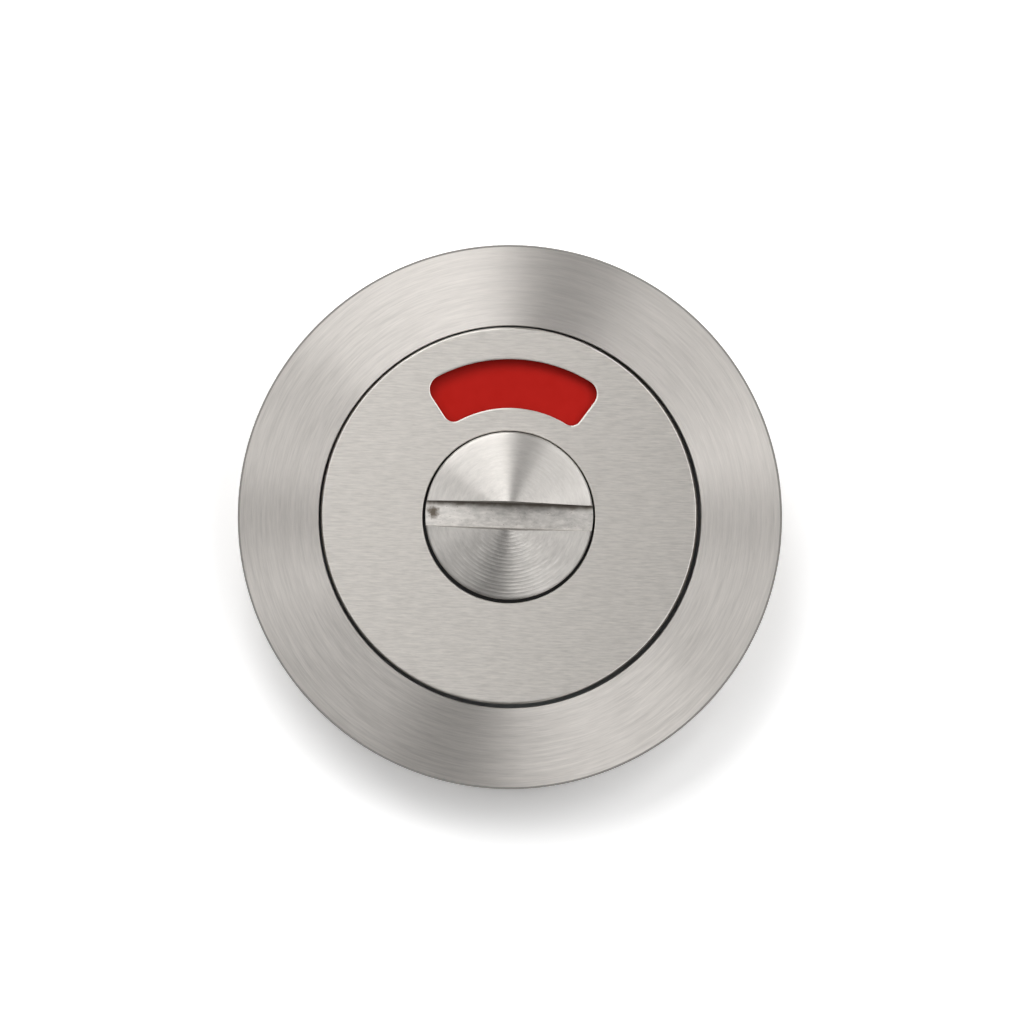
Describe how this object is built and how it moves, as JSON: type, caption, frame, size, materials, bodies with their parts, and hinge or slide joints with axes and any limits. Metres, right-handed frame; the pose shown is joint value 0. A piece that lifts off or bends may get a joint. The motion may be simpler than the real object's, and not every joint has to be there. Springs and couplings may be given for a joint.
{
  "type": "bathroom coin release with indicator",
  "caption": "Round satin steel rose for the outside of a bathroom door, with a slotted coin release in the middle and a red and green indicator window above it.",
  "frame": {"origin": "centre of the back, on the door face and on the axis of the release", "axes": "+Z out of the door towards the person outside, +Y up on the door (the window is above the release), +X to the right as seen from outside"},
  "size_m": [0.052, 0.052, 0.0103],
  "materials": {
    "ring_steel": "satin stainless steel, brushed in circles",
    "face_steel": "satin stainless steel, brushed straight across",
    "turn_steel": "fine turned stainless steel",
    "spring_steel": "plain spring steel",
    "zinc_casting": null,
    "insert_brass": "plain brass",
    "nylon": "moulded black nylon",
    "red_film": "satin red film",
    "green_film": "satin green film"
  },
  "bodies": {
    "rose": {"rose_ring": "ring_steel", "face_cap": "face_steel", "base_plate": "zinc_casting", "bush": "nylon", "wave_washer": "spring_steel", "thrust_washer": "spring_steel", "snap_ring": "spring_steel", "stop_pin": "spring_steel", "threaded_inserts": "insert_brass"},
    "turn": {"coin_turn": "turn_steel", "indicator_dial": "nylon", "red_film": "red_film", "green_film": "green_film", "circlip": "spring_steel"}
  },
  "joints": [
    {"name": "release_turn", "type": "hinge", "parent": "rose", "child": "turn", "pos_m": [0, 0, 0.0037], "axis": [0, 0, 1], "range_deg": [0, 90]}
  ]
}
